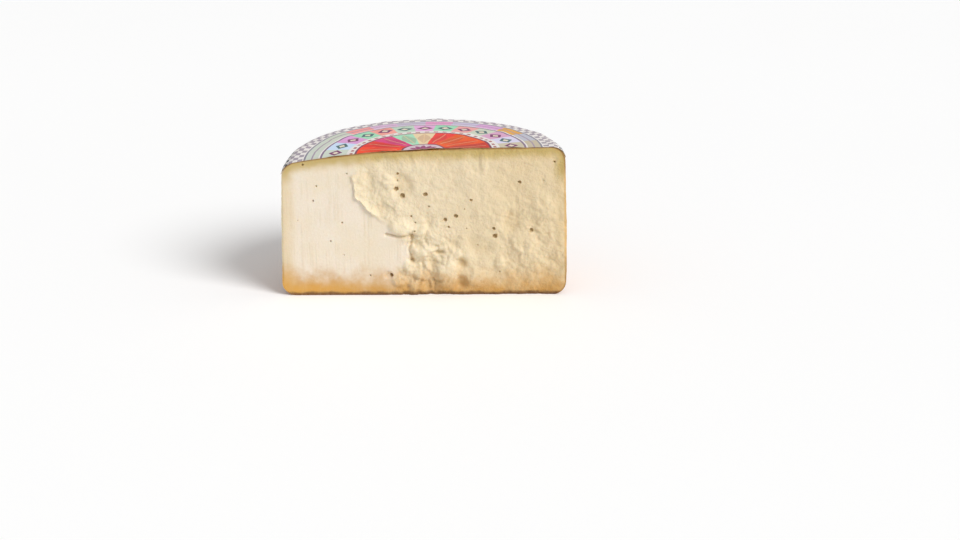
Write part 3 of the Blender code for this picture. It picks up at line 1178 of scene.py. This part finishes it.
def whole_print(paint, deep):
    """The colours of the fresh print."""
    drop = paint.math("MAXIMUM", WHEEL_HEIGHT / MM * settling(paint) - paint.z, 0.0)
    out = paint.math("SQRT", paint.x * paint.x + deep * deep) + drop
    turn = paint.math("ARCTAN2", deep, paint.x) / math.pi
    colour = paint.mix(band(out, 0, ROSETTE_TO), PRINT["paper"], PRINT["rosette"])
    swing = paint.math("ABSOLUTE", paint.math("COSINE", turn * (PETAL_TURNS * math.pi)))
    petals = PETAL_REACH[0] + PETAL_REACH[1] * swing
    colour = paint.mix(out < petals, colour, PRINT["petals"])
    for low, high, codes in FIELDS:
        colour = paint.mix(band(out, low, high), colour, fields(paint, turn, codes))
    colour = leaf_wreath(paint, colour, out, turn)
    colour = lozenge_ring(paint, colour, out, turn)
    for *layout, code in CHEQUERS:
        colour = paint.mix(chequers(paint, out, turn, *layout), colour, ink(code))
    for low, high, code in LINES:
        colour = paint.mix(band(out, low, high), colour, ink(code))
    return colour


def paint_print(material):
    """The printed side of the paper, worn and stained."""
    paint = Paint(material)
    deep = paint.y - AXIS_Y / MM
    colour = whole_print(paint, deep)
    worn = paint.rise(paint.noise(5, 5), 0.62, 0.8)
    colour = paint.mix(worn * 0.15, colour, PRINT["worn"])
    yellowed = paint.rise(paint.noise(30, 2), 0.3, 0.8)
    colour = paint.mix(yellowed * 0.06, colour, PRINT["yellowed"])
    from_cut = deep + (paint.noise(7, 4) - 0.5) * 9
    stain = 1 - paint.rise(from_cut, -1.5, 4.5)
    colour = paint.mix(stain * 0.2, colour, PRINT["fat"])
    paint.finish(colour, 0.5 + 0.15 * paint.noise(8, 3), paint.noise(9, 5), PAPER_WAVES_DEPTH)
    paint.set_plain(Coat_Weight=0.05, Coat_Roughness=0.4, Specular_IOR_Level=0.3)
    return paint


def paint_core(material):
    """The paper's cut edge: fibre stained brown by ink and fat."""
    paint = Paint(material)
    stained = paint.rise(paint.noise(6, 4), 0.35, 0.65)
    colour = paint.mix(stained, ink("7C5E3A"), ink("B0946A"))
    paint.finish(colour, 0.7, paint.noise(0.5, 3), FIBRE_DEPTH)


paint_core(paper_core)
print("print has", len(paint_print(paper_print).tree.nodes), "nodes")

# %% [markdown]
# ## Put the pieces on the frame
# Each piece moves with the root body and stands for one solid. Its row also names a finish of the
# record, which nothing here gives it. The solids themselves stay where they are, out of sight.

# %% Ride and replace
STANDS_FOR = ((half_wheel, "half_wheel", "cheese"), (top_paper, "top_label", "printed_paper"))
for piece, node, slot in STANDS_FOR:
    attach(piece, "root")
    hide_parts(node)
    print(piece.name, "stands for", node)

# %% [markdown]
# ## Floor, light and camera
# The picture to match is a bright product shot: a white ground and soft light from the right and
# above, with the shadows filled. A large floor, one soft sun and a white sky do that.

# %% A pale floor
FLOOR_HALF_SIZE = 5.0


def make_floor():
    """A large plain floor, which isn't part of the cheese."""
    mesh = bmesh.new()
    bmesh.ops.create_grid(mesh, x_segments=1, y_segments=1, size=FLOOR_HALF_SIZE)
    floor_finish = bpy.data.materials.new("Pale floor")
    paint = Paint(floor_finish)
    colour = paint.mix(paint.noise(400, 2) * 0.3, ink("FFFFFF"), ink("FAFAF9"))
    paint.finish(colour, 0.75)
    return linked_object("floor", mesh, [floor_finish])


floor = make_floor()

# %% [markdown]
# ## One soft sun and a white sky
# The sun stands high on the right, in front of the cheese, so that it grazes the cut and brings out its
# relief. The wider it is in the sky, the softer its shadows are. The sky fills them and lights the back.
# View transform Standard keeps the colours as they are mixed here.

# %% Soft studio light
SUN_FROM = (0.87, -0.73, 0.95)
SUN_WIDTH = 30
SUN_STRENGTH = 2.5
SKY_STRENGTH = 0.5


def add_sun(name, direction, softness, strength):
    """A far lamp that shines from this direction, this many degrees wide in the sky."""
    lamp = bpy.data.lights.new(name, "SUN")
    lamp.angle = math.radians(softness)
    lamp.energy = strength
    holder = bpy.data.objects.new(name, lamp)
    holder.location = Vector(direction)
    holder.rotation_euler = holder.location.to_track_quat("Z", "Y").to_euler()
    bpy.context.scene.collection.objects.link(holder)


add_sun("key_lamp", SUN_FROM, SUN_WIDTH, SUN_STRENGTH)
sky = bpy.data.worlds.new("White sky")
bpy.context.scene.world = sky
sky.use_nodes = True
sky.node_tree.nodes["Background"].inputs["Color"].default_value = ink("FFFFFF")
sky.node_tree.nodes["Background"].inputs["Strength"].default_value = SKY_STRENGTH
bpy.context.scene.view_settings.view_transform = "Standard"
print("sun", SUN_STRENGTH, "and sky", SKY_STRENGTH)

# %% [markdown]
# ## The camera
# Its turn, rise, distance and lens were fitted to the outline of the cheese and the edges of its cut. A
# long lens from a metre away keeps the sides nearly upright, as in a catalogue picture.

# %% The camera, a little above and almost square to the cut
CAMERA_TURN = -0.587
CAMERA_RISE = 19.336
CAMERA_DISTANCE = 1.0571
CAMERA_TARGET = Vector((0.037, AXIS_Y, 0.0175))
CAMERA_LENS = 59.37


def add_camera():
    """Places the camera on a turn and a rise about its target, and makes it the scene's."""
    turn = math.radians(CAMERA_TURN)
    rise = math.radians(CAMERA_RISE)
    back = Vector((math.sin(turn) * math.cos(rise), -math.cos(turn) * math.cos(rise), math.sin(rise)))
    right = Vector((math.cos(turn), math.sin(turn), 0))
    camera = bpy.data.objects.new("camera", bpy.data.cameras.new("camera"))
    camera.data.lens = CAMERA_LENS
    camera.matrix_world = Matrix((right, back.cross(right), back)).transposed().to_4x4()
    camera.location = CAMERA_TARGET + back * CAMERA_DISTANCE
    bpy.context.scene.collection.objects.link(camera)
    bpy.context.scene.camera = camera
    print("camera at", camera.location)


add_camera()
